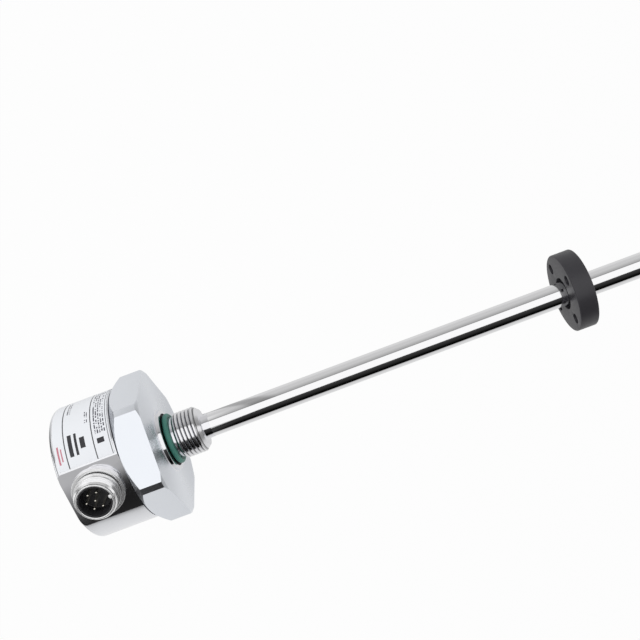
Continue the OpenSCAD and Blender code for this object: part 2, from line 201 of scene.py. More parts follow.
# %% Material helpers
def new_material(name, colour, metallic=0.0, roughness=0.4, **sockets):
    """A Principled material. Returns the material, its nodes and the shader."""
    material = bpy.data.materials.new(name)
    material.use_nodes = True
    tree = material.node_tree
    shader = tree.nodes["Principled BSDF"]
    shader.inputs["Base Color"].default_value = (*colour, 1)
    shader.inputs["Metallic"].default_value = metallic
    shader.inputs["Roughness"].default_value = roughness
    for socket, value in sockets.items():
        shader.inputs[socket.replace("_", " ")].default_value = value
    return material, tree, shader


def add(tree, kind, inputs=None, **settings):
    """Adds one node, sets it and links whatever inputs are given as sockets."""
    node = tree.nodes.new(kind)
    for key, value in settings.items():
        setattr(node, key, value)
    for key, value in (inputs or {}).items():
        if isinstance(value, bpy.types.NodeSocket):
            tree.links.new(value, node.inputs[key])
        else:
            node.inputs[key].default_value = value
    return node


def maths(tree, operation, a, b=None, c=None, clamp=False):
    """One maths node."""
    node = tree.nodes.new("ShaderNodeMath")
    node.operation = operation
    node.use_clamp = clamp
    for k, value in enumerate(v for v in (a, b, c) if v is not None):
        if isinstance(value, bpy.types.NodeSocket):
            tree.links.new(value, node.inputs[k])
        else:
            node.inputs[k].default_value = value
    return node.outputs[0]


def sums(tree):
    """Short names for a tree's commonest maths: plus, minus and times."""
    def named(operation):
        return lambda a, b: maths(tree, operation, a, b)

    return named("ADD"), named("SUBTRACT"), named("MULTIPLY")


def object_xyz(tree):
    """Object coordinates, whole and split."""
    coordinates = tree.nodes.new("ShaderNodeTexCoord").outputs["Object"]
    split = add(tree, "ShaderNodeSeparateXYZ", {0: coordinates})
    return coordinates, split.outputs[0], split.outputs[1], split.outputs[2]


def axis_distance(tree, y, z):
    """Distance from the rod axis."""
    plus, minus, times = sums(tree)
    return maths(tree, "SQRT", plus(times(y, y), times(z, z)))


def noise(tree, vector, scale, detail=2.0, roughness=0.5):
    """A soft noise pattern between 0 and 1."""
    node = add(tree, "ShaderNodeTexNoise", {"Vector": vector, "Scale": scale, "Detail": detail,
                                            "Roughness": roughness})
    return node.outputs["Fac"]


def spread(tree, value, low, high):
    """Spreads a 0 to 1 pattern between two values."""
    node = add(tree, "ShaderNodeMapRange", {"Value": value, "From Min": 0.3, "From Max": 0.7,
                                            "To Min": low, "To Max": high}, clamp=True)
    return node.outputs[0]


def step(tree, value, low, high):
    """0 below low, 1 above high and a straight slope between them."""
    return add(tree, "ShaderNodeMapRange", {"Value": value, "From Min": low, "From Max": high},
               clamp=True).outputs[0]


def mixed(tree, factor, one, two):
    """A colour between two colours. On this node, sockets 0, 6 and 7 are the factor and the two colours."""
    return add(tree, "ShaderNodeMix", {0: factor, 6: one, 7: two}, data_type="RGBA").outputs[2]


def emboss(tree, shader, height, strength, distance=0.0002):
    """Gives a shader a bump from a pattern. The distance is in metres."""
    bump = add(tree, "ShaderNodeBump", {"Strength": strength, "Distance": distance, "Height": height})
    tree.links.new(bump.outputs[0], shader.inputs["Normal"])


# %% [markdown]
# ## Metal finishes
# The head and flange are stainless steel from the lathe. The tool leaves rings that are far
# finer than a pixel, and they stretch each reflection across the rings. An anisotropic shader
# with a tangent that runs round the axis gives that, and a faint ring bump breaks it up. The
# rod is polished, so it is nearly a mirror with only a whisper of drawn lines along it.

# %% Metals
def lathe_steel(name, colour, roughness, rings=0.00035, depth=0.02, anisotropy=0.55, streak=0.04):
    """Turned steel with fine rings round the rod axis."""
    material, tree, shader = new_material(name, colour, 1.0, roughness, Anisotropic=anisotropy,
                                          Anisotropic_Rotation=0.25)
    plus, minus, times = sums(tree)
    coordinates, x, y, z = object_xyz(tree)
    across = plus(axis_distance(tree, y, z), times(x, 0.73))
    lines = add(tree, "ShaderNodeTexNoise", {"Scale": 1 / rings, "Detail": 3.0, "Roughness": 0.6,
                                             "W": across}, noise_dimensions="1D").outputs["Fac"]
    broad = noise(tree, coordinates, 90.0, 3.0)
    tree.links.new(spread(tree, broad, roughness - streak, roughness + streak), shader.inputs["Roughness"])
    emboss(tree, shader, lines, depth)
    tangent = add(tree, "ShaderNodeTangent", direction_type="RADIAL", axis="X")
    tree.links.new(tangent.outputs[0], shader.inputs["Tangent"])
    return material


def plain_metal(name, colour, roughness, scale=400.0, depth=0.02, streak=0.04, metallic=1.0):
    """Plated or polished metal with a slightly uneven skin."""
    material, tree, shader = new_material(name, colour, metallic, roughness)
    uneven = noise(tree, object_xyz(tree)[0], scale, 3.0)
    patches = spread(tree, uneven, max(roughness - streak, 0.02), roughness + streak)
    tree.links.new(patches, shader.inputs["Roughness"])
    emboss(tree, shader, uneven, depth)
    return material


flange_steel = lathe_steel("flange_steel", (0.9, 0.93, 0.98), 0.3, anisotropy=0.85)
head_steel = lathe_steel("head_steel", (0.93, 0.94, 0.97), 0.2, anisotropy=0.4)
hex_steel = plain_metal("hex_steel", (0.9, 0.93, 0.98), 0.16, 120.0, 0.02)
rod_steel = plain_metal("rod_steel", (0.97, 0.97, 0.98), 0.07, 150.0, 0.01, 0.02)
flat_steel = plain_metal("flat_steel", (0.92, 0.92, 0.95), 0.06, 120.0, 0.02, 0.03)
nickel = plain_metal("nickel", (0.96, 0.96, 0.965), 0.2, 700.0, 0.03, metallic=0.78)
# A darker nickel that is painted shade, for the connector's groove and thread roots.
root_nickel = plain_metal("root_nickel", (0.3, 0.3, 0.305), 0.3, 700.0, 0.03, metallic=0.78)
cast_nickel = plain_metal("cast_nickel", (0.98, 0.98, 0.98), 0.5, 700.0, 0.03, metallic=0.5)


def rolled_steel(name, colour, root_shade, low, high, end):
    """Thread steel: bright crests over roots darkened with painted shade.

    The colour turns from the painted root shade to the crest colour between the radii low and high. Beyond x
    = end all is bright.
    """
    material, tree, shader = new_material(name, colour, 1.0, 0.14)
    coordinates, x, y, z = object_xyz(tree)
    # The root colour is painted shade; the crests and the end keep the metal's own colour.
    unshaded = maths(tree, "MAXIMUM", step(tree, axis_distance(tree, y, z), low, high),
                  maths(tree, "GREATER_THAN", x, end))
    tree.links.new(mixed(tree, unshaded, (*root_shade, 1), (*colour, 1)), shader.inputs["Base Color"])
    uneven = noise(tree, coordinates, 900.0, 3.0)
    tree.links.new(spread(tree, uneven, 0.1, 0.18), shader.inputs["Roughness"])
    emboss(tree, shader, uneven, 0.05)
    return material


# The darker second colour is painted shade in the thread roots.
thread_steel = rolled_steel("thread_steel", (0.93, 0.93, 0.95), (0.26, 0.26, 0.265), 0.00885, 0.00945, 0.0148)
metals = (flange_steel, head_steel, hex_steel, rod_steel, thread_steel, flat_steel, nickel, root_nickel,
          cast_nickel)
print("metals:", [m.name for m in metals])

# %% [markdown]
# ## Plastics and rubber
# The ring magnet is ferrite powder in plastic: charcoal, faintly speckled and a little glossy.
# The sealing ring is green fluorinated rubber. The connector's insert is nearly black. One dull
# black is painted shade: it stands for the dark that the boss face shows beside the green ring.

# %% Plastics and rubber
def moulded(name, colour, roughness, grain=2500.0, depth=0.08, speckle=0.12, **sockets):
    """Moulded plastic or rubber with a fine skin and slight colour variation."""
    material, tree, shader = new_material(name, colour, 0.0, roughness, **sockets)
    coordinates = object_xyz(tree)[0]
    fine = noise(tree, coordinates, grain, 4.0, 0.6)
    cloud = noise(tree, coordinates, grain / 12, 2.0)
    dark, light = ((*[c * k for c in colour], 1) for k in (1 - speckle, 1 + speckle))
    tree.links.new(mixed(tree, cloud, dark, light), shader.inputs["Base Color"])
    tree.links.new(spread(tree, fine, roughness - 0.05, roughness + 0.05), shader.inputs["Roughness"])
    emboss(tree, shader, fine, depth, 0.0001)
    return material


ferrite_plastic = moulded("ferrite_plastic", (0.031, 0.0295, 0.035), 0.4)
green_rubber = moulded("green_rubber", (0.055, 0.235, 0.185), 0.45, 1800.0, 0.05)
black_rubber = moulded("black_rubber", (0.012, 0.012, 0.013), 0.5, 1800.0, 0.05)
insert_black = moulded("insert_black", (0.02, 0.02, 0.023), 0.4, 3000.0, 0.05)
# Painted shade for the boss face beside the green ring.
seat_dark = moulded("seat_dark", (0.01, 0.01, 0.011), 0.6, 1800.0, 0.05, Specular_IOR_Level=0.2)
print("plastics:", [m.name for m in (ferrite_plastic, green_rubber, black_rubber, insert_black, seat_dark)])

# %% [markdown]
# ## The round head
# A cup turned from bar, with one flat milled on its side for the connector. The profile runs
# from the rear centre round the outside and back along the bore, so the wall has its real
# thickness. Cutting the turned mesh with one plane gives the flat.

# %% Head housing
HEAD_R, HEAD_END, JOINT, HEAD_ROUND = 27.5, 37.4, 12.5, 1.6
BORE_R, REAR_WALL, FLAT = 22.0, 3.0, 24.9
GAP = 0.2      # each side of the joint between head and flange stands back by this
CONN_TURN = math.radians(22.5)
CONN_X = -25.5
flat_normal = Vector((0, -math.sin(CONN_TURN), math.cos(CONN_TURN)))

head_profile = rounded([
    (0, -HEAD_END), (HEAD_R, -HEAD_END, HEAD_ROUND), (HEAD_R, -JOINT - GAP, 0.15), (BORE_R, -JOINT - GAP),
    (BORE_R, -HEAD_END + REAR_WALL, 0.4), (0, -HEAD_END + REAR_WALL)], 6)
head_mesh = turned_mesh(head_profile, 360)
cut_flat(head_mesh, flat_normal * FLAT * MM, flat_normal)
head = to_mesh(head_mesh, "head_shell", 25)
flat_index = max(head.data.polygons, key=lambda f: f.area if f.normal.dot(flat_normal) > 0.999 else 0).index
finish_piece(head, head_steel, "sensor", "housing_steel", "head_housing")
head.data.materials.append(flat_steel)
head.data.polygons[flat_index].material_index = 1

# %% [markdown]
# ## The hexagon flange
# One bar again: the face, the raised sealing boss, the undercut, the stub and the fillet where
# the rod is welded in are all one profile. Six plane cuts then make the hexagon, and the turned
# chamfers leave the curved lines that every turned hexagon has.

# %% Flange
HEX, TURNED_R, FACE_R = 55.0, 31.0, 29.6
BOSS_R, BOSS_H, NECK_R, NECK_END, SEAT_R = 12.8, 1.5, 8.5, 5.1, 11.2
THREAD_R, STUB_END, STUB_R, RUN_OUT, PITCH = 9.525, 16.0, 7.6, 2.1, 25.4 / 16
SPIGOT_R, SPIGOT_BORE_R, SPIGOT_END = 21.95, 18.55, 16.5
ROD_R, HOLDER_R = 5.0, 8.93

CHAMFER_RISE = (TURNED_R - FACE_R) * math.tan(math.radians(30))

flange_profile = rounded([
    (ROD_R + 0.02, -3), (HOLDER_R, -3), (HOLDER_R, -JOINT), (SPIGOT_BORE_R, -JOINT),
    (SPIGOT_BORE_R, -SPIGOT_END), (SPIGOT_R, -SPIGOT_END, 0.3), (SPIGOT_R, -JOINT + GAP),
    (HEAD_R, -JOINT + GAP, 0.15), (TURNED_R, -9.3, 0.3), (TURNED_R, -CHAMFER_RISE, 0.3), (FACE_R, 0, 0.6),
    (BOSS_R + 0.18, 0, 0.45), (BOSS_R - 0.06, BOSS_H, 0.25), (SEAT_R, BOSS_H), (NECK_R, BOSS_H, 0.25),
    (NECK_R, NECK_END - 0.1), (THREAD_R - 0.72, NECK_END), (NECK_R - 0.12, NECK_END + 0.3),
    (NECK_R - 0.12, STUB_END - RUN_OUT), (7.4, STUB_END - 0.7), (STUB_R + 0.02, STUB_END, 0.05),
    (7.2, STUB_END), (5.5, STUB_END + 0.15, 0.25), (5.12, STUB_END + 1.2, 1.5), (5.05, STUB_END + 3.0),
    (ROD_R + 0.02, STUB_END + 3.1)], 5)
flange_mesh = turned_mesh(flange_profile, 384, ring=True)
for k in range(6):
    a = math.radians(60 * k)
    side = Vector((0, -math.sin(a), math.cos(a)))
    cut_flat(flange_mesh, side * HEX / 2 * MM, side)
flange = to_mesh(flange_mesh, "flange_body", 20)
finish_piece(flange, flange_steel, "sensor", "flange_steel", "hex_flange")
HEX_FINISH, BRIGHT_FINISH, SEAT_SHADE = 1, 2, 3
for finish in (hex_steel, flat_steel, seat_dark):
    flange.data.materials.append(finish)
for face in flange.data.polygons:
    middle = Vector(face.center) / MM
    reach = math.hypot(middle.y, middle.z)
    if abs(face.normal.x) < 1e-4 and abs(middle.dot(face.normal) - HEX / 2) < 1e-3:
        face.material_index = HEX_FINISH
    # The boss face inside the seat gets the painted shade, a dull black beside the green ring.
    elif abs(middle.x - BOSS_H) < 0.05 and NECK_R < reach < SEAT_R:
        face.material_index = SEAT_SHADE
    elif (middle.x > 0 and reach < BOSS_R + 0.5) or (middle.x > STUB_END - 0.1 and reach < 7.3):
        face.material_index = BRIGHT_FINISH

# %% [markdown]
# ## Threads with Geometry Nodes
# A thread repeats one small tooth along a helix. A flat grid has its columns follow the turns
# and its rows cross one tooth; a few maths nodes roll it onto the stub. The radius is the lower
# of the tooth and a chamfer at each end, as on a real stud. The same tree makes the coarse
# process thread and the fine connector thread, only with other sizes.

# %% Thread tree
def new_group(name, sizes):
    """A Geometry Nodes group with named sizes as inputs, and a material. Returns it and its inputs."""
    group = bpy.data.node_groups.new(name, "GeometryNodeTree")
    for label, value in sizes:
        kind = "NodeSocketInt" if isinstance(value, int) else "NodeSocketFloat"
        group.interface.new_socket(name=label, in_out="INPUT", socket_type=kind).default_value = value
    group.interface.new_socket(name="Material", in_out="INPUT", socket_type="NodeSocketMaterial")
    group.interface.new_socket(name="Geometry", in_out="OUTPUT", socket_type="NodeSocketGeometry")
    return group, group.nodes.new("NodeGroupInput").outputs


def close_group(group, geometry, material):
    """Ends a group with Realize Instances and Set Material."""
    real = add(group, "GeometryNodeRealizeInstances", {0: geometry})
    coloured = add(group, "GeometryNodeSetMaterial", {"Geometry": real.outputs[0], "Material": material})
    group.links.new(coloured.outputs[0], group.nodes.new("NodeGroupOutput").inputs[0])
    return group


def thread_tree():
    """Builds the node group that rolls a helical thread round the x axis."""
    group, size = new_group("rolled_thread", (
        ("Pitch", 1.5), ("Major Radius", 9.0), ("Depth", 0.9), ("Start", 0.0), ("End", 10.0), ("Turns", 8.0),
        ("Start Chamfer", 0.8), ("End Chamfer", 0.8), ("End Radius", 8.0)))
    plus, minus, times = sums(group)

    def calc(operation, a, b=None):
        return maths(group, operation, a, b)

    tooth, per_turn = 12, 96
    root_flat, flank = 0.05, 0.42
    columns = add(group, "FunctionNodeFloatToInt", {0: plus(times(size["Turns"], per_turn), 1)},
                  rounding_mode="ROUND")
    grid = add(group, "GeometryNodeMeshGrid", {"Size X": 1.0, "Size Y": 1.0, "Vertices X": columns.outputs[0],
                                               "Vertices Y": tooth + 1})
    where = add(group, "ShaderNodeSeparateXYZ", {0: add(group, "GeometryNodeInputPosition").outputs[0]})
    turn = times(plus(where.outputs[0], 0.5), size["Turns"])
    across = plus(where.outputs[1], 0.5)
    x_free = plus(minus(size["Start"], size["Pitch"]), times(size["Pitch"], plus(turn, across)))
    x = calc("MINIMUM", calc("MAXIMUM", x_free, size["Start"]), size["End"])
    rise = times(minus(0.5, calc("ABSOLUTE", minus(across, 0.5))), 2.0)
    height = maths(group, "MULTIPLY", minus(rise, root_flat), 1 / flank, clamp=True)
    tooth_r = plus(minus(size["Major Radius"], size["Depth"]), times(height, size["Depth"]))
    deep = times(size["Depth"], 1.15)
    entry = calc("DIVIDE", minus(x, size["Start"]), size["Start Chamfer"])
    ramp_a = plus(minus(size["Major Radius"], deep), times(entry, deep))
    leave = calc("DIVIDE", minus(size["End"], x), size["End Chamfer"])
    ramp_b = plus(size["End Radius"], times(leave, minus(size["Major Radius"], size["End Radius"])))
    radius = calc("MINIMUM", tooth_r, calc("MINIMUM", ramp_a, ramp_b))
    angle = times(turn, 2 * math.pi)
    y = times(times(radius, calc("SINE", angle)), -1.0)
    z = times(radius, calc("COSINE", angle))
    spot = add(group, "ShaderNodeCombineXYZ", {0: x, 1: y, 2: z})
    scaled = add(group, "ShaderNodeVectorMath", {0: spot.outputs[0], "Scale": MM}, operation="SCALE")
    rolled = add(group, "GeometryNodeSetPosition", {"Geometry": grid.outputs[0],
                                                    "Position": scaled.outputs[0]})
    joined = add(group, "GeometryNodeMergeByDistance", {"Geometry": rolled.outputs[0], "Distance": 2e-6})
    shaded = add(group, "GeometryNodeSetShadeSmooth", {0: joined.outputs[0]})
    return close_group(group, shaded.outputs[0], size["Material"])


def run_tree(group, name, **values):
    """Runs a node tree on an empty mesh and returns the result as a plain mesh object."""
    holder = link(bpy.data.meshes.new(name + "_seed"), name)
    modifier = holder.modifiers.new("nodes", "NODES")
    modifier.node_group = group
    for item in group.interface.items_tree:
        key = item.name.lower().replace(" ", "_")
        if item.item_type == "SOCKET" and item.in_out == "INPUT" and key in values:
            modifier[item.identifier] = values[key]
    bpy.context.view_layer.update()
    result = bpy.data.meshes.new_from_object(holder.evaluated_get(bpy.context.evaluated_depsgraph_get()))
    holder.modifiers.remove(modifier)
    holder.data = result
    result.name = name
    print(name, "from nodes:", len(result.vertices), "points")
    return holder


def outward(piece, degrees=35):
    """Recalculates the faces' direction after a roll or a join."""
    work = bmesh.new()
    work.from_mesh(piece.data)
    bmesh.ops.remove_doubles(work, verts=work.verts, dist=1e-7)
    bmesh.ops.recalc_face_normals(work, faces=work.faces)
    work.to_mesh(piece.data)
    work.free()
    smooth(piece.data, degrees)


rolled_thread = thread_tree()

# %% [markdown]
# ## The process thread
# A 3/4 inch thread with 16 turns to the inch, from the undercut to the end of the stub. Its last
# turns run out in a long chamfer. Crests are bright, and painted shade darkens the roots.

# %% Process thread
process_thread = run_tree(
    rolled_thread, "process_thread", pitch=PITCH, major_radius=THREAD_R, depth=0.66, start=NECK_END,
    end=STUB_END, turns=math.ceil((STUB_END - NECK_END) / PITCH) + 1.0, start_chamfer=0.84,
    end_chamfer=RUN_OUT, end_radius=STUB_R, material=thread_steel)
outward(process_thread)
finish_piece(process_thread, thread_steel, "sensor", "flange_steel")

# %% [markdown]
# ## Sealing ring
# A plain O-ring sits in the undercut against the boss. A ring profile closed on itself gives a
# clean torus with even faces.

# %% Process sealing ring
def circle_profile(radius, x, r, steps=32):
    """A round section at a distance from the axis."""
    angles = [2 * math.pi * k / steps for k in range(steps)]
    return [(radius + r * math.cos(a), x + r * math.sin(a)) for a in angles]


seal = turned("process_seal", circle_profile(NECK_R + 1.08, BOSS_H + 1.32, 1.06), 192, ring=True)
finish_piece(seal, green_rubber, "sensor", "green_seal", "process_sealing_ring")

# %% [markdown]
# ## The rod
# A polished stainless tube with a welded plug at its far end. The weld shows as a hairline
# groove, so the tube and the plug each get a tiny rounding where they meet.

# %% Rod and end plug
TUBE_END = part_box("rod_tube")[1][0] / MM
ROD_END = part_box("rod_end_plug")[1][0] / MM
TUBE_BORE_R = 4.0
rod = turned("rod_skin", rounded([
    (TUBE_BORE_R, -2.9), (ROD_R, -2.9, 0.2), (ROD_R, TUBE_END - 0.01, 0.06),
    (TUBE_BORE_R, TUBE_END - 0.01)], 4), 256, ring=True)
finish_piece(rod, rod_steel, "sensor", "rod_steel", "rod_tube")
plug = turned("end_plug", rounded([
    (0, TUBE_END - 2.9), (TUBE_BORE_R - 0.03, TUBE_END - 2.9, 0.2),
    (TUBE_BORE_R - 0.03, TUBE_END + 0.01, 0.05), (ROD_R, TUBE_END + 0.01, 0.06), (ROD_R, ROD_END - 0.6, 0.3),
    (ROD_R - 0.6, ROD_END, 0.3), (0, ROD_END)], 5), 128)
finish_piece(plug, rod_steel, "sensor", "rod_steel", "rod_end_plug")

# %% [markdown]
# ## The ring magnet
# A moulded ring with four screw holes. The ring is turned, the holes are cut with a boolean
# from cylinders that a node tree sets out on the pitch circle, and a small bevel breaks every edge.

# %% Hole cutter tree
def ring_of_pegs():
    """Node group: pegs on a pitch circle round the x axis."""
    group, size = new_group("ring_of_pegs", (("Pitch Radius", 12.0), ("Peg Radius", 2.15),
                                             ("Peg Length", 20.0), ("Count", 4)))
    circle = add(group, "GeometryNodeMeshCircle", {"Vertices": size["Count"], "Radius": size["Pitch Radius"]})
    peg = add(group, "GeometryNodeMeshCylinder", {"Vertices": 48, "Radius": size["Peg Radius"],
                                                  "Depth": size["Peg Length"]})
    spots = add(group, "GeometryNodeInstanceOnPoints", {"Points": circle.outputs[0],
                                                        "Instance": peg.outputs[0]})
    laid = add(group, "GeometryNodeTransform", {"Geometry": spots.outputs[0], "Scale": (MM, MM, MM),
                                                "Rotation": (0, -math.pi / 2, 0)})
    return close_group(group, laid.outputs[0], size["Material"])


def apply_modifiers(piece):
    """Bakes a piece's modifiers into its mesh."""
    result = bpy.data.meshes.new_from_object(piece.evaluated_get(bpy.context.evaluated_depsgraph_get()))
    piece.modifiers.clear()
    piece.data = result
    return piece


# %% [markdown]
# ## The magnet itself
# It hangs on the rod, so its middle lies a little below the rod's axis, and it is turned as the
# four holes show in the photograph.

# %% Ring magnet
MAGNET_R, MAGNET_T, MAGNET_BORE_R = 16.4, 7.9, 6.75
HOLE_CIRCLE_R, HOLE_R, MAGNET_TURN = 12.0, 2.15, math.radians(-19.8)
magnet_low, magnet_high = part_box("ring_magnet")
magnet_x = magnet_low[0]
magnet_z = (magnet_low[2] + magnet_high[2]) / 2
magnet = turned("magnet_ring", rounded([
    (MAGNET_BORE_R, 0.3), (MAGNET_BORE_R, 0, 0.25), (MAGNET_R, 0, 0.5), (MAGNET_R, MAGNET_T, 0.5),
    (MAGNET_BORE_R, MAGNET_T, 0.25), (MAGNET_BORE_R, MAGNET_T - 0.3)], 4), 192, ring=True)
cutter = run_tree(ring_of_pegs(), "hole_cutter", pitch_radius=HOLE_CIRCLE_R, peg_radius=HOLE_R,
                  peg_length=30.0, count=4, material=ferrite_plastic)
outward(cutter)
cut = magnet.modifiers.new("holes", "BOOLEAN")
cut.object = cutter
cut.solver = "EXACT"
bevel = magnet.modifiers.new("edges", "BEVEL")
bevel.width = 0.18 * MM
bevel.segments = 2
bevel.limit_method = "ANGLE"
bevel.angle_limit = math.radians(50)
bpy.context.view_layer.update()
apply_modifiers(magnet)
bpy.data.objects.remove(cutter)
place(magnet.data, Matrix.Translation((magnet_x, 0, magnet_z)) @ Matrix.Rotation(MAGNET_TURN, 4, "X"))
smooth(magnet.data, 35)
finish_piece(magnet, ferrite_plastic, "magnet", "magnet_plastic", "ring_magnet")

# %% [markdown]
# ## The connector
# A nickel-plated M16 sleeve on the milled flat, with a base collar, a fine thread, a plain rim
# and a black insulating cup inside. The cup has a coding rib on the side of the rod. Pieces are
# made along x like all turned ones and then stood up on the flat.

# %% Connector shell
stand_up = (Matrix.Translation(Vector((CONN_X * MM, 0, 0)) + flat_normal * FLAT * MM)
            @ Matrix.Rotation(CONN_TURN, 4, "X") @ Matrix.Rotation(-math.pi / 2, 4, "Y"))
RIM_H, SLEEVE_R, CORE_R, INSERT_R, COLLAR_R, SHOULDER_R = 8.8, 8.0, 7.3, 6.4, 10.0, 8.7
SLEEVE_PITCH = 1.5

shell = turned("connector_sleeve", rounded([
    (INSERT_R + 0.05, -5.4), (7.2, -5.4, 0.2), (7.2, 0.0), (COLLAR_R, 0.0, 0.12), (COLLAR_R, 1.2, 0.35),
    (8.6, 1.2), (CORE_R, 1.2, 0.1), (CORE_R, 2.0, 0.1), (SHOULDER_R, 2.0, 0.3), (SHOULDER_R, 3.0, 0.3),
    (CORE_R, 3.1, 0.1), (CORE_R, RIM_H - 1.0, 0.05), (7.2, RIM_H - 0.6, 0.1), (7.2, RIM_H, 0.34),
    (INSERT_R + 0.05, RIM_H, 0.34), (INSERT_R + 0.05, RIM_H - 1.0)], 5), 160, ring=True)
finish_piece(shell, nickel, "sensor", "nickel_shell", "connector_shell")
shell.data.materials.append(root_nickel)
# The groove between the collar and the shoulder gets the painted shade.
for face in shell.data.polygons:
    if 1.15 < face.center.x / MM < 2.05 and math.hypot(face.center.y, face.center.z) < 0.0086:
        face.material_index = 1
place(shell.data, stand_up)

sleeve_thread = run_tree(
    rolled_thread, "sleeve_thread", pitch=SLEEVE_PITCH, major_radius=SLEEVE_R, depth=0.5, start=3.1,
    end=RIM_H - 0.6, turns=math.ceil((RIM_H - 3.7) / SLEEVE_PITCH) + 1.0, start_chamfer=0.5,
    end_chamfer=0.8, end_radius=7.4, material=nickel)
outward(sleeve_thread)
finish_piece(sleeve_thread, nickel, "sensor", "nickel_shell")
sleeve_thread.data.materials.append(root_nickel)
# The sleeve thread's roots get the painted shade.
for face in sleeve_thread.data.polygons:
    if math.hypot(face.center.y, face.center.z) < 0.00772 and face.center.x < (RIM_H - 1.4) * MM:
        face.material_index = 1
place(sleeve_thread.data, stand_up)

# %% [markdown]
# ## Insert and coding rib
# The insert is a black cup whose rim stands just below the metal one. The rib is a cast bead on
# the inside of the sleeve, and it tells a plug which way round it goes.

# %% Connector insert and coding rib
insert_profile = rounded([
    (0, -5.0), (INSERT_R, -5.0, 0.2), (INSERT_R, RIM_H - 0.2, 0.1), (INSERT_R - 0.6, RIM_H - 0.2, 0.1),
    (INSERT_R - 0.8, 2.3, 0.3), (0, 2.3)], 4)
insert = turned("contact_cup", insert_profile, 128)
place(insert.data, stand_up)
finish_piece(insert, insert_black, "sensor", "insert_plastic", "connector_insert")

rib = turned("coding_rib", rounded([(0, 2.0), (1.05, 2.0), (1.05, RIM_H, 0.7), (0, RIM_H)], 6), 40)
place(rib.data, stand_up @ Matrix.Translation((0, 0, -(INSERT_R - 0.1) * MM)))
finish_piece(rib, cast_nickel, "sensor", "nickel_shell")

# %% [markdown]
# ## Contact pins
# Six plated pins: one in the middle and five on a circle, 60 degrees apart, with the sixth place
# left for the coding rib. The node tree puts one pin on each point.

# %% Contact pins
def pin_tree():
    """Node group: one middle pin and five on a circle, standing along x."""
    group, size = new_group("contact_pins", (("Circle Radius", 3.45), ("Pin Radius", 0.5), ("Low", -6.2),
                                             ("High", 7.8)))
    plus, minus, times = sums(group)

    def raised(geometry, height):
        """Moves a geometry up by a height."""
        spot = add(group, "ShaderNodeCombineXYZ", {2: height})
        return add(group, "GeometryNodeTransform", {"Geometry": geometry, "Translation": spot.outputs[0]})

    def joined(one, two):
        """Two geometries as one."""
        node = group.nodes.new("GeometryNodeJoinGeometry")
        group.links.new(one.outputs[0], node.inputs[0])
        group.links.new(two.outputs[0], node.inputs[0])
        return node.outputs[0]

    radius = size["Pin Radius"]
    length = minus(size["High"], size["Low"])
    middle = times(plus(size["High"], size["Low"]), 0.5)
    shaft = add(group, "GeometryNodeMeshCylinder", {"Vertices": 24, "Radius": radius,
                                                    "Depth": minus(length, radius)})
    tip = add(group, "GeometryNodeMeshUVSphere", {"Segments": 24, "Rings": 12, "Radius": radius})
    pin = joined(raised(shaft.outputs[0], times(radius, -0.5)),
                 raised(tip.outputs[0], minus(times(length, 0.5), radius)))
    circle = add(group, "GeometryNodeMeshCircle", {"Vertices": 6, "Radius": size["Circle Radius"]})
    first = add(group, "FunctionNodeCompare", {2: add(group, "GeometryNodeInputIndex").outputs[0], 3: 0},
                data_type="INT", operation="EQUAL")
    five = add(group, "GeometryNodeDeleteGeometry", {"Geometry": circle.outputs[0],
                                                     "Selection": first.outputs[0]})
    points = joined(five, add(group, "GeometryNodeMeshLine", {"Count": 1}))
    spots = add(group, "GeometryNodeInstanceOnPoints", {"Points": points, "Instance": pin})
    lift = add(group, "ShaderNodeCombineXYZ", {0: times(middle, MM)})
    laid = add(group, "GeometryNodeTransform", {"Geometry": spots.outputs[0], "Rotation": (0, math.pi / 2, 0),
                                                "Scale": (MM, MM, MM), "Translation": lift.outputs[0]})
    return close_group(group, laid.outputs[0], size["Material"])


pin_gold = plain_metal("pin_gold", (0.96, 0.92, 0.82), 0.2, 1500.0, 0.02)
pins = run_tree(pin_tree(), "contact_pins", circle_radius=3.45, pin_radius=0.5, low=-6.2, high=RIM_H - 1.0,
                material=pin_gold)
place(pins.data, stand_up)
outward(pins)
finish_piece(pins, pin_gold, "sensor", "contact_gold", *[f"contact_pin_{k}" for k in range(1, 7)])

# %% [markdown]
# ## The type label
# A silver foil wrapped round the head from the edge of the flat. It carries no words, only thin
# rules round the head, and a few plain bars and rows of specks where print would be. The label
# has its own UV map in millimetres, along the arc and across the width, so that each bar is a
# simple box in that map.

# %% Label foil
LABEL_LOW, LABEL_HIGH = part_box("type_label")
label_x0, label_x1 = LABEL_LOW[0] / MM, LABEL_HIGH[0] / MM
label_start = math.degrees(CONN_TURN) - math.degrees(math.acos(FLAT / HEAD_R)) - 1.4
label_r, label_t, label_sweep = HEAD_R + 0.05, 0.12, 200.0


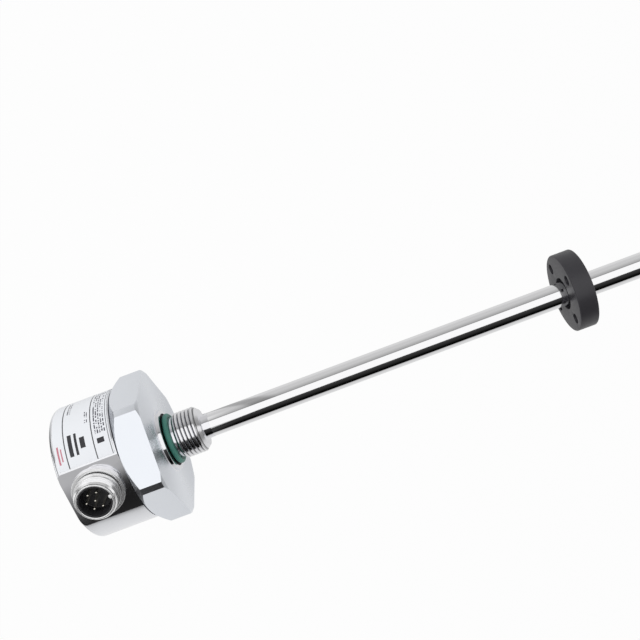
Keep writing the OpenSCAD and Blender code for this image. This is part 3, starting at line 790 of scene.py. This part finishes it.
def label_sheet():
    """The bent foil, with a UV map in millimetres."""
    work = bmesh.new()
    uv = work.loops.layers.uv.new("label_mm")
    steps, rows = 220, 12
    grid = {}
    for side, radius in ((0, label_r), (1, label_r + label_t)):
        for i in range(steps + 1):
            a = math.radians(label_start - label_sweep * i / steps)
            for j in range(rows + 1):
                x = label_x0 + (label_x1 - label_x0) * j / rows
                spot = Vector((x, -radius * math.sin(a), radius * math.cos(a)))
                grid[side, i, j] = work.verts.new(spot * MM)
    arc = math.radians(label_sweep) * label_r

    def quad(keys):
        new_face = work.faces.new([grid[k] for k in keys])
        for loop, (side, i, j) in zip(new_face.loops, keys):
            loop[uv].uv = (arc * i / steps, (label_x1 - label_x0) * j / rows)

    for i in range(steps):
        for j in range(rows):
            quad([(1, i, j), (1, i + 1, j), (1, i + 1, j + 1), (1, i, j + 1)])
            quad([(0, i, j), (0, i, j + 1), (0, i + 1, j + 1), (0, i + 1, j)])
        quad([(0, i, 0), (0, i + 1, 0), (1, i + 1, 0), (1, i, 0)])
        quad([(0, i, rows), (1, i, rows), (1, i + 1, rows), (0, i + 1, rows)])
    for j in range(rows):
        quad([(0, 0, j), (1, 0, j), (1, 0, j + 1), (0, 0, j + 1)])
        quad([(0, steps, j), (0, steps, j + 1), (1, steps, j + 1), (1, steps, j)])
    bmesh.ops.recalc_face_normals(work, faces=work.faces)
    return work


label = to_mesh(label_sheet(), "label_foil", 40)


def label_material():
    """Silver-white foil with thin rules, plain bars and rows of random specks."""
    silver = (0.82, 0.84, 0.875)
    material, tree, shader = new_material("label_silver", silver, 0.0, 0.35, Specular_IOR_Level=0.5)
    plus, minus, times = sums(tree)
    uv = add(tree, "ShaderNodeUVMap", uv_map="label_mm").outputs[0]
    split = add(tree, "ShaderNodeSeparateXYZ", {0: uv})
    arc, across = split.outputs[0], split.outputs[1]

    def more(a, b):
        return maths(tree, "GREATER_THAN", a, b)

    def less(a, b):
        return maths(tree, "LESS_THAN", a, b)

    def bars(*boxes):
        """1 inside boxes (a0, a1, x0, x1): a0 to a1 along the arc, x0 to x1 along the rod, in millimetres."""
        total = None
        for a0, a1, x0, x1 in boxes:
            mask = times(times(more(arc, a0), less(arc, a1)),
                         times(more(across, x0 - label_x0), less(across, x1 - label_x0)))
            total = mask if total is None else maths(tree, "MAXIMUM", total, mask)
        return total

    rules = bars((0, 96, -31.45, -31.03), (0, 96, -20.24, -19.82), (0, 96, -14.05, -13.8))
    red = bars((2.5, 9.8, -34.5, -33.8), (3.4, 8.6, -33.2, -32.7))
    black = bars((4, 13, -29.8, -28.2), (4, 13, -27.2, -26.2), (6, 10.5, -25.2, -23.2),
                 (5.5, 7.6, -18.6, -15.8))
    row = times(across, 1.1)
    along_row = add(tree, "ShaderNodeCombineXYZ", {0: times(arc, 1.6),
                                                   1: times(maths(tree, "FLOOR", row), 7.3)})
    ragged = more(noise(tree, along_row.outputs[0], 1.0, 1.0), 0.47)
    inked_rows = more(maths(tree, "FRACT", row), 0.42)
    block = bars((9.5, 34, -19.0, -14.6), (16, 22, -22.4, -21.2), (24, 33, -30.0, -28.4))
    specks = times(times(ragged, inked_rows), block)
    shade = (*silver, 1)
    for mask, ink in ((rules, (0.055, 0.055, 0.06, 1)), (red, (0.55, 0.2, 0.25, 1)),
                      (black, (0.03, 0.03, 0.035, 1)), (specks, (0.09, 0.09, 0.11, 1))):
        shade = mixed(tree, mask, shade, ink)
    tree.links.new(shade, shader.inputs["Base Color"])
    coordinates = object_xyz(tree)[0]
    emboss(tree, shader, noise(tree, coordinates, 60.0, 2.0), 0.05, 0.0003)
    tree.links.new(spread(tree, noise(tree, coordinates, 700.0), 0.3, 0.4), shader.inputs["Roughness"])
    return material


label_silver = label_material()
finish_piece(label, label_silver, "sensor", "label_foil", "type_label")

# %% [markdown]
# ## Inner pieces
# The boards, spacers, screws, wires and seals inside stay as the measured solids. Nobody sees
# them in the picture, but each gets its own finish in case the head is opened.

# %% Finishes for the inner pieces
board_green = moulded("board_green", (0.02, 0.16, 0.06), 0.35, 1200.0)
chip_black = moulded("chip_black", (0.02, 0.02, 0.022), 0.45, 2500.0)
holder_cream = moulded("holder_cream", (0.6, 0.55, 0.42), 0.45, 900.0)
liner_white = moulded("liner_white", (0.75, 0.75, 0.7), 0.4, 900.0)
film_amber = moulded("film_amber", (0.45, 0.18, 0.03), 0.3, 900.0)
damper_brown = moulded("damper_brown", (0.1, 0.02, 0.015), 0.6, 900.0)
copper = plain_metal("copper", (0.75, 0.35, 0.18), 0.25, 1500.0)
wire_alloy = plain_metal("wire_alloy", (0.55, 0.55, 0.5), 0.25, 1500.0)
screw_steel = plain_metal("screw_steel", (0.65, 0.65, 0.66), 0.25, 1200.0)
inner = {
    "housing_sealing_ring": black_rubber, "connector_sealing_ring": black_rubber, "connector_nut": nickel,
    "connector_flex": film_amber, "interface_board": board_green, "converter_board": board_green,
    "timing_chip": chip_black, "line_driver_chip": chip_black, "supply_capacitor": screw_steel,
    "cartridge_holder": holder_cream, "pickup_coil": copper, "bias_magnet": ferrite_plastic,
    "waveguide": wire_alloy, "waveguide_tube": wire_alloy, "return_wire": copper, "end_damper": damper_brown,
    "cartridge_liner": liner_white}
for k in (1, 2, 3):
    inner[f"board_spacer_{k}"] = screw_steel
    inner[f"board_screw_{k}"] = screw_steel
for name, material in inner.items():
    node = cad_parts[name]
    for slot in node.material_slots:
        slot.material = material
print(len(inner), "inner pieces finished")

# %% [markdown]
# ## Studio
# The photograph is a bright product shot on white. Polished metal shows only what stands around
# it, so the studio matters as much as the steel. The world gives a plain fill, and the floor lies
# well below and keeps a soft shadow. Both are white to the camera and in reflections.

# %% World and floor
world = bpy.data.worlds.new("studio_world")
bpy.context.scene.world = world
world.use_nodes = True
world_tree = world.node_tree
background = world_tree.nodes["Background"]


def watched(tree):
    """1 for camera, mirror and see-through rays, and 0 for rays that only carry light."""
    rays = tree.nodes.new("ShaderNodeLightPath").outputs
    direct = maths(tree, "MAXIMUM", rays["Is Camera Ray"], rays["Is Glossy Ray"])
    return maths(tree, "MAXIMUM", direct, rays["Is Transmission Ray"])


WORLD_FILL = 0.72
plus, minus, times = sums(world_tree)
strength = plus(WORLD_FILL, times(watched(world_tree), 1 - WORLD_FILL))
world_tree.links.new(strength, background.inputs["Strength"])
background.inputs["Color"].default_value = (1, 1, 1, 1)


def floor_material():
    """White floor: plain for light, nearly self-white for the camera so that only shadows show."""
    material = bpy.data.materials.new("studio_floor")
    material.use_nodes = True
    tree = material.node_tree
    tree.nodes.clear()
    plain = add(tree, "ShaderNodeBsdfDiffuse", {"Color": (0.9, 0.9, 0.9, 1)})
    glow = add(tree, "ShaderNodeEmission", {"Color": (1, 1, 1, 1), "Strength": 1.0})
    share = maths(tree, "MULTIPLY", watched(tree), 0.93)
    blend = add(tree, "ShaderNodeMixShader", {0: share, 1: plain.outputs[0], 2: glow.outputs[0]})
    out = tree.nodes.new("ShaderNodeOutputMaterial")
    tree.links.new(blend.outputs[0], out.inputs[0])
    return material


floor_mesh = bpy.data.meshes.new("studio_floor")
floor_mesh.from_pydata([(-8, -8, -0.8), (8, -8, -0.8), (8, 8, -0.8), (-8, 8, -0.8)], [], [(0, 1, 2, 3)])
floor = link(floor_mesh, "studio_floor")
floor.data.materials.append(floor_material())
print("world and floor ready")

# %% [markdown]
# ## What the metal mirrors
# The rod is a round mirror, so its stripes give away how bright the studio was at each angle. A
# wide tunnel of light about the rod, seen only by reflections, holds those brightnesses. A black
# card hangs at its lower side and gives the dark stripe. Behind the head the card's edge sits
# lower, which leaves the milled flat pale at its left.

# %% Reflection tunnel
CARD_UPPER, CARD_LOWER = 27.0, 96.0      # the black card's edges, in degrees round the rod


def tunnel(radius=450.0, x0=-1100, x1=1400):
    """A round tunnel of light about the rod that only reflections see.

    Its brightness follows the angle round the rod, from the camera's side (0) towards the
    lower side (+90). Lengths along the rod are in metres here, as Object coordinates are.
    """
    work = turned_mesh([(radius, x0), (radius, x1)], 180)
    bmesh.ops.reverse_faces(work, faces=work.faces)
    piece = to_mesh(work, "reflection_tunnel")
    material = bpy.data.materials.new("tunnel_light")
    material.use_nodes = True
    tree = material.node_tree
    tree.nodes.clear()
    plus, minus, times = sums(tree)
    coordinates, x, y, z = object_xyz(tree)
    degrees = times(maths(tree, "ARCTAN2", times(y, -1.0), z), 180 / math.pi)
    left = times(x, -1.0)
    behind = step(tree, left, 0.09, 0.14)
    far = step(tree, left, 0.145, 0.2)

    def ramp(*stops):
        """Brightness by angle, from pairs of degrees and value."""
        node = add(tree, "ShaderNodeValToRGB", {0: maths(tree, "DIVIDE", plus(degrees, 180.0), 360.0)})
        elements = node.color_ramp.elements
        while len(elements) < len(stops):
            elements.new(0.5)
        for element, (angle, value) in zip(elements, stops):
            element.position = (angle + 180) / 360
            element.color = (value, value, value, 1)
        return node.outputs[0]

    def window(low, high, soft=8.0):
        """1 between two angles, fading outside them."""
        return times(step(tree, degrees, low - soft, low), minus(1.0, step(tree, degrees, high, high + soft)))

    pale = ramp((-180, 0.66), (-130, 0.69), (-118, 0.67), (-95, 0.58), (-75, 0.59), (-58, 0.5), (-45, 0.41),
                (-38, 0.37), (-37, 0.2), (-33, 0.2), (-32, 0.98), (29, 0.98), (30, 0.46), (96, 0.45),
                (103, 0.6), (118, 0.66), (157, 0.74), (180, 0.66))
    lift = plus(times(window(-180, -80), 0.06), times(window(-72, -46), 0.62))
    lift = times(plus(lift, times(window(104, 180), 0.07)), behind)
    foot = times(times(step(tree, left, 0.04, 0.052), window(-175, -34, 2.0)),
                 minus(1.0, step(tree, left, 0.072, 0.08)))
    bright = minus(plus(1.0, lift), times(foot, 0.42))
    pale = add(tree, "ShaderNodeVectorMath", {0: pale, "Scale": bright}, operation="SCALE").outputs[0]

    card = mixed(tree, behind, ramp((27, 0.06), (43, 0.032), (59, 0.02), (75, 0.002), (100, 0.002)),
                 ramp((41, 0.01), (47, 0.014), (55, 0.062), (70, 0.062), (100, 0.03)))
    edge = minus(plus(CARD_UPPER, times(step(tree, left, 0.07, 0.14), 15.4)), times(far, 0.2))
    soft = plus(1.2, times(far, 3.8))
    clear = maths(tree, "SUBTRACT", 1.0, maths(tree, "DIVIDE", minus(degrees, edge), soft), clamp=True)
    below = maths(tree, "SUBTRACT", 1.0, maths(tree, "POWER", clear, 1.6), clamp=True)
    above = times(step(tree, minus(CARD_LOWER, degrees), -1.5, 1.5), minus(1.0, step(tree, x, 0.5, 0.56)))
    shade = mixed(tree, times(below, above), pale, card)
    ends = plus(times(step(tree, x, 0.42, 0.75), 0.5), step(tree, left, 0.3, 0.65))
    glow = add(tree, "ShaderNodeEmission", {"Color": shade, "Strength": minus(1.0, times(ends, 0.85))})
    out = tree.nodes.new("ShaderNodeOutputMaterial")
    tree.links.new(glow.outputs[0], out.inputs[0])
    piece.data.materials.append(material)
    piece.visible_camera = False
    piece.visible_diffuse = False
    piece.visible_shadow = False
    piece.visible_transmission = False
    return piece


tunnel()
print("reflection tunnel ready")

# %% [markdown]
# ## The key light
# One large soft lamp from the upper left models the plastic and the label. Metal
# doesn't mirror it, because the tunnel already gives the metal all that it shows.

# %% Key light
def area_light(name, position, size, power):
    """A soft square lamp that points at the middle of the part."""
    data = bpy.data.lights.new(name, "AREA")
    data.shape = "SQUARE"
    data.size = size
    data.energy = power
    lamp = bpy.data.objects.new(name, data)
    lamp.location = position
    lamp.rotation_euler = (Vector((0.06, 0, 0)) - Vector(position)).to_track_quat("-Z", "Y").to_euler()
    lamp.visible_glossy = False
    bpy.context.scene.collection.objects.link(lamp)
    return lamp


area_light("key_light", (-0.5, 0.45, 0.75), 0.5, 3.8)
print("lights ready")
